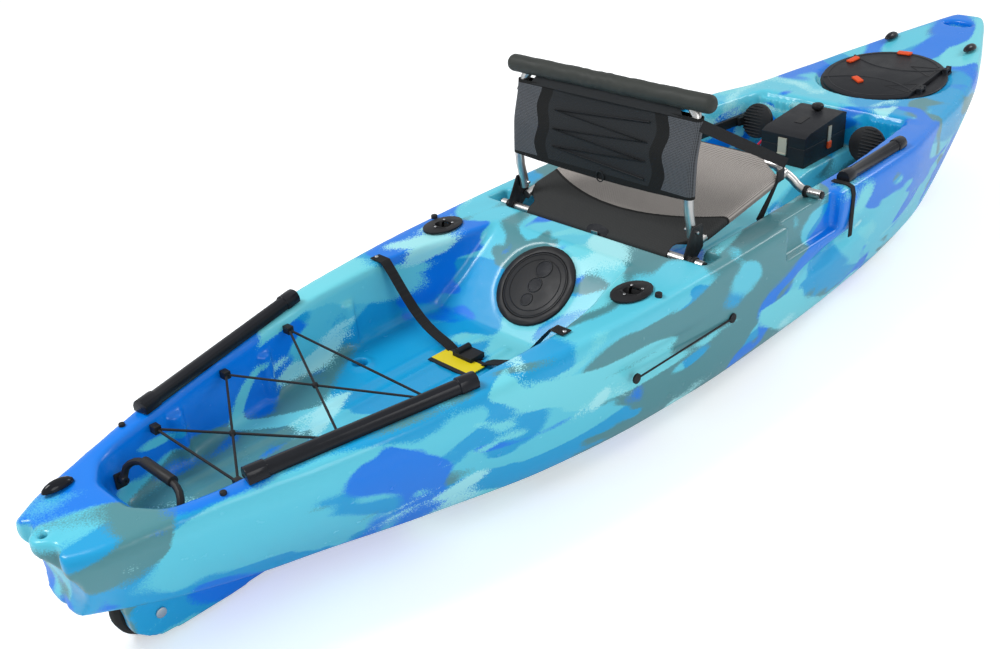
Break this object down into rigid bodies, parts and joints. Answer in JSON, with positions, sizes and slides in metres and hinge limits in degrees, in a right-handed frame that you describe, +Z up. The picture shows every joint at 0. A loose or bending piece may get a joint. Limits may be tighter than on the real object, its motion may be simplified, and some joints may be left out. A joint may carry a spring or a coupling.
{
  "type": "fishing kayak",
  "caption": "Sit-on-top fishing kayak: hollow moulded hull with a folding frame seat, hatches, gear rails, rod holders, foot pedals on tracks, a console box and a keel wheel.",
  "frame": {"origin": "on the ground under the middle of the overall length and width, at the lowest point of the keel wheel", "axes": "+X to the bow, +Y to port, +Z up"},
  "size_m": [3.84, 0.838, 0.802],
  "materials": {
    "hull": "glossy rotomoulded polyethylene in mottled blues and grey green",
    "tyre": "matt",
    "black_plastic": "satin moulded",
    "rubber": "matt",
    "steel": "brushed",
    "aluminium": "satin anodised",
    "seat_mesh": "open mesh",
    "dark_fabric": "padded mesh",
    "webbing": "woven webbing",
    "cord": "braided",
    "orange_plastic": "satin",
    "grey_plastic": "satin"
  },
  "bodies": {
    "boat": {"bow_fitting_port": "black_plastic", "bow_fitting_starboard": "black_plastic", "bow_hatch_frame": "black_plastic", "bow_hatch_pin_1": "steel", "bow_hatch_pin_2": "steel", "bungee_eye_1_port": "black_plastic", "bungee_eye_1_starboard": "black_plastic", "bungee_eye_2_port": "black_plastic", "bungee_eye_2_starboard": "black_plastic", "bungee_eye_3_port": "black_plastic", "bungee_eye_3_starboard": "black_plastic", "bungee_lacing": "cord", "console_box": "black_plastic", "console_side_strap": "grey_plastic", "foot_track_port": "black_plastic", "foot_track_starboard": "black_plastic", "front_rail_port": "black_plastic", "front_rail_starboard": "black_plastic", "hull": "hull", "rail_leash_port": "rubber", "rail_leash_starboard": "rubber", "rear_hatch_frame": "black_plastic", "rear_rail_port": "black_plastic", "rear_rail_starboard": "black_plastic", "rod_holder_port": "black_plastic", "rod_holder_starboard": "black_plastic", "seat_bracket_port": "steel", "seat_bracket_starboard": "steel", "seat_front_tube": "aluminium", "seat_pivot_bolt_port": "steel", "seat_pivot_bolt_starboard": "steel", "seat_rear_bar": "aluminium", "seat_side_tube_port": "aluminium", "seat_side_tube_starboard": "aluminium", "seat_sling": "seat_mesh", "seat_strap_port": "webbing", "seat_strap_starboard": "webbing", "side_bungee": "cord", "stern_fitting": "black_plastic", "stern_handle_bracket_port": "black_plastic", "stern_handle_bracket_starboard": "black_plastic", "strap_buckle": "black_plastic", "tie_down_strap": "webbing", "wheel_axle": "steel"},
    "wheel": {"wheel_tyre": "tyre", "wheel_hub": "black_plastic"},
    "backrest": {"seat_back_frame": "aluminium", "seat_back_panel": "seat_mesh", "seat_back_roll": "dark_fabric"},
    "rear_lid": {"rear_hatch_lid": "black_plastic"},
    "bow_lid": {"bow_hatch_lid": "black_plastic"},
    "bow_latch_body_1": {"bow_latch_1": "orange_plastic"},
    "bow_latch_body_2": {"bow_latch_2": "orange_plastic"},
    "bow_latch_body_3": {"bow_latch_3": "orange_plastic"},
    "console_cover": {"console_lid": "black_plastic", "console_knob": "black_plastic"},
    "console_catch": {"console_latch": "grey_plastic"},
    "pedal_port": {"foot_pedal_port": "black_plastic"},
    "pedal_starboard": {"foot_pedal_starboard": "black_plastic"},
    "handle": {"stern_handle": "rubber"}
  },
  "joints": [
    {"name": "wheel_spin", "type": "hinge", "parent": "boat", "child": "wheel", "pos_m": [-1.736, 0, 0.075], "axis": [0, 1, 0], "continuous": true},
    {"name": "backrest_fold", "type": "hinge", "parent": "boat", "child": "backrest", "pos_m": [-0.262, 0, 0.445], "axis": [0, 1, 0], "range_deg": [0, 75], "deforming": ["seat_strap_port", "seat_strap_starboard"]},
    {"name": "rear_lid_turn", "type": "hinge", "parent": "boat", "child": "rear_lid", "pos_m": [-0.535, 0, 0.31], "axis": [-0.6428, 0, 0.766], "range_deg": [0, 90]},
    {"name": "bow_lid_open", "type": "hinge", "parent": "boat", "child": "bow_lid", "pos_m": [1.26775, -0.172, 0.42036], "axis": [0.9925, 0, 0.1219], "range_deg": [0, 110]},
    {"name": "bow_latch_1_flip", "type": "hinge", "parent": "bow_lid", "child": "bow_latch_body_1", "pos_m": [1.32674, 0.14117, 0.43295], "axis": [0.9775, -0.1736, 0.12], "range_deg": [0, 70]},
    {"name": "bow_latch_2_flip", "type": "hinge", "parent": "bow_lid", "child": "bow_latch_body_2", "pos_m": [1.43984, 0.01604, 0.44683], "axis": [0.0865, -0.9962, 0.0106], "range_deg": [0, 70]},
    {"name": "bow_latch_3_flip", "type": "hinge", "parent": "bow_lid", "child": "bow_latch_body_3", "pos_m": [1.18671, 0.04369, 0.41575], "axis": [0.5693, 0.8192, 0.0699], "range_deg": [0, 70]},
    {"name": "console_lid_open", "type": "hinge", "parent": "boat", "child": "console_cover", "pos_m": [0.755, 0.079, 0.3473], "axis": [-1, 0, 0], "range_deg": [0, 95]},
    {"name": "console_latch_flip", "type": "hinge", "parent": "boat", "child": "console_catch", "pos_m": [0.6255, 0, 0.321], "axis": [0, -1, 0], "range_deg": [0, 60]},
    {"name": "pedal_port_slide", "type": "slide", "parent": "boat", "child": "pedal_port", "axis": [0.9952, -0.0981, 0], "range_m": [-0.28, 0.02]},
    {"name": "pedal_starboard_slide", "type": "slide", "parent": "boat", "child": "pedal_starboard", "axis": [0.9952, 0.0981, 0], "range_m": [-0.28, 0.02]},
    {"name": "stern_handle_swing", "type": "hinge", "parent": "boat", "child": "handle", "pos_m": [-1.675, 0, 0.29], "axis": [0, 1, 0], "range_deg": [-20, 60]}
  ]
}
